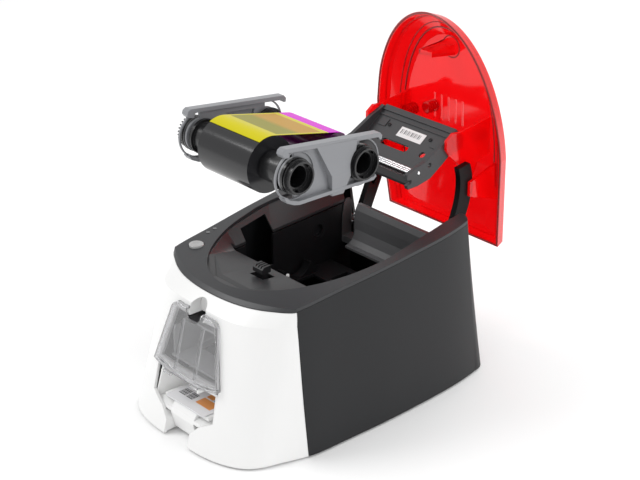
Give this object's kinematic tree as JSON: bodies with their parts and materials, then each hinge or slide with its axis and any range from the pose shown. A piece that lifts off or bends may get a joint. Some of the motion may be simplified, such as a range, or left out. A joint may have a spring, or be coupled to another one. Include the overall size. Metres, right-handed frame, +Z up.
{
  "type": "id card printer",
  "caption": "Desktop id card printer with a see-through lift-up cover, lift-out ribbon cassette, front card hopper cover and card outlet.",
  "frame": {"origin": "middle of the overall box, on the table under the feet", "axes": "+X to the right of the front, +Y to the back, +Z up"},
  "size_m": [0.2047, 0.345, 0.33],
  "materials": {
    "black_plastic": "fine moulded texture",
    "board_green": "fine moulded texture",
    "button_grey": "smooth moulded",
    "card_pvc": "smooth moulded",
    "cassette_grey": "fine moulded texture",
    "clear_smoke": "see-through",
    "dark_plastic": "fine moulded texture",
    "deck_plastic": "fine moulded texture",
    "film_magenta": "see-through",
    "film_yellow": "see-through",
    "label_white": "fine moulded texture",
    "light_lens": "smooth moulded",
    "motor_can": "fine brushed",
    "polished_steel": "polished",
    "red_clear": "see-through",
    "ribbon_black": "smooth moulded",
    "ribbon_purple": "smooth moulded",
    "rim_plastic": "fine moulded texture",
    "rubber_black": "matte",
    "shaft_steel": "fine brushed",
    "sink_metal": "as cut",
    "socket_metal": "fine brushed",
    "spool_black": "smooth moulded",
    "tray_plastic": "fine moulded texture",
    "white_plastic": "smooth moulded"
  },
  "bodies": {
    "body": {"front_panel": "white_plastic", "housing": "dark_plastic", "top_rim": "rim_plastic", "deck": "deck_plastic", "base_plate": "dark_plastic", "side_plate_left": "black_plastic", "side_plate_right": "black_plastic", "bay_front_wall": "black_plastic", "rear_beam": "black_plastic", "inner_frame": "black_plastic", "cassette_cradle_left": "black_plastic", "cassette_cradle_right": "black_plastic", "card_bed": "sink_metal", "card_hopper": "tray_plastic", "card_tray": "white_plastic", "latch_bracket": "black_plastic", "main_motor": "motor_can", "drive_belt": "rubber_black", "circuit_board": "board_green", "usb_socket": "socket_metal", "power_inlet": "black_plastic", "hinge_post_left": "shaft_steel", "hinge_post_right": "shaft_steel", "indicator_light_1": "light_lens", "indicator_light_2": "light_lens", "foot_front_left": "rubber_black", "foot_front_right": "rubber_black", "foot_rear_left": "rubber_black", "foot_rear_right": "rubber_black"},
    "cover": {"cover_shell": "red_clear", "cover_arm_left": "black_plastic", "cover_arm_right": "black_plastic"},
    "head": {"head_carriage": "black_plastic", "print_head": "black_plastic", "head_rods": "polished_steel", "heat_sink": "sink_metal", "head_label": "label_white"},
    "cassette": {"cassette_frame": "cassette_grey", "ribbon_yellow": "film_yellow", "ribbon_magenta": "film_magenta"},
    "supply": {"supply_spool": "spool_black", "supply_roll": "ribbon_black"},
    "take_up": {"take_up_spool": "spool_black", "take_up_roll": "ribbon_purple"},
    "card_door": {"card_cover": "clear_smoke"},
    "button": {"power_button": "button_grey"},
    "catch": {"latch_catch": "black_plastic"},
    "card": {"printed_card": "card_pvc"},
    "hub": {"ribbon_hub": "black_plastic"},
    "motor": {"motor_pulley": "shaft_steel"},
    "feed": {"feed_shaft": "shaft_steel", "feed_roller": "rubber_black"},
    "transport": {"transport_shaft": "shaft_steel", "transport_roller": "rubber_black"},
    "platen": {"platen_shaft": "shaft_steel", "platen_roller": "rubber_black"},
    "rear": {"rear_shaft": "shaft_steel", "rear_roller": "rubber_black"},
    "exit": {"exit_shaft": "shaft_steel", "exit_roller": "rubber_black"}
  },
  "joints": [
    {"name": "cover_hinge", "type": "hinge", "parent": "body", "child": "cover", "pos_m": [0, 0.105, 0.108], "axis": [-1, 0, 0], "range_deg": [-90, 0]},
    {"name": "head_float", "type": "hinge", "parent": "cover", "child": "head", "pos_m": [0, 0.121, 0.219], "axis": [1, 0, 0], "range_deg": [-2, 2], "stiffness_Nm_per_rad": 3},
    {"name": "cassette_draw", "type": "slide", "parent": "body", "child": "cassette", "axis": [0, -1, 0], "range_m": [0, 0.136]},
    {"name": "supply_spin", "type": "hinge", "parent": "cassette", "child": "supply", "pos_m": [0, -0.086, 0.251], "axis": [1, 0, 0], "continuous": true},
    {"name": "take_up_spin", "type": "hinge", "parent": "cassette", "child": "take_up", "pos_m": [0, -0.012, 0.243], "axis": [1, 0, 0], "continuous": true},
    {"name": "card_door_tilt", "type": "hinge", "parent": "body", "child": "card_door", "pos_m": [0, -0.1629, 0.0595], "axis": [1, 0, 0], "range_deg": [0, 80]},
    {"name": "power_press", "type": "slide", "parent": "body", "child": "button", "axis": [0, 0, -1], "range_m": [0, 0.0012], "stiffness_N_per_m": 400},
    {"name": "catch_pivot", "type": "hinge", "parent": "body", "child": "catch", "pos_m": [0, -0.069, 0.121], "axis": [1, 0, 0], "range_deg": [-5, 5], "stiffness_Nm_per_rad": 0.05},
    {"name": "card_slide", "type": "slide", "parent": "body", "child": "card", "axis": [0, -1, 0], "range_m": [0, 0.06]},
    {"name": "hub_spin", "type": "hinge", "parent": "body", "child": "hub", "pos_m": [-0.072, 0.057, 0.113], "axis": [1, 0, 0], "continuous": true},
    {"name": "platen_spin", "type": "hinge", "parent": "body", "child": "platen", "pos_m": [0, 0.02, 0.058], "axis": [1, 0, 0], "continuous": true},
    {"name": "feed_spin", "type": "hinge", "parent": "body", "child": "feed", "pos_m": [0, -0.112, 0.058], "axis": [1, 0, 0], "continuous": true},
    {"name": "transport_spin", "type": "hinge", "parent": "body", "child": "transport", "pos_m": [0, -0.058, 0.058], "axis": [1, 0, 0], "continuous": true},
    {"name": "rear_spin", "type": "hinge", "parent": "body", "child": "rear", "pos_m": [0, 0.076, 0.058], "axis": [1, 0, 0], "continuous": true},
    {"name": "exit_spin", "type": "hinge", "parent": "body", "child": "exit", "pos_m": [0, -0.104, 0.024], "axis": [1, 0, 0], "continuous": true},
    {"name": "motor_spin", "type": "hinge", "parent": "body", "child": "motor", "pos_m": [0.07, 0.036, 0.027], "axis": [1, 0, 0], "continuous": true}
  ],
  "couplings": [
    {"joint": "cassette_draw", "follows": "cover_hinge", "m_per_rad": -0.085944},
    {"joint": "take_up_spin", "follows": "supply_spin", "ratio": 1.4706},
    {"joint": "feed_spin", "follows": "platen_spin", "ratio": 1},
    {"joint": "transport_spin", "follows": "platen_spin", "ratio": 1},
    {"joint": "rear_spin", "follows": "platen_spin", "ratio": 1},
    {"joint": "exit_spin", "follows": "platen_spin", "ratio": 1},
    {"joint": "motor_spin", "follows": "platen_spin", "ratio": 1.4}
  ]
}
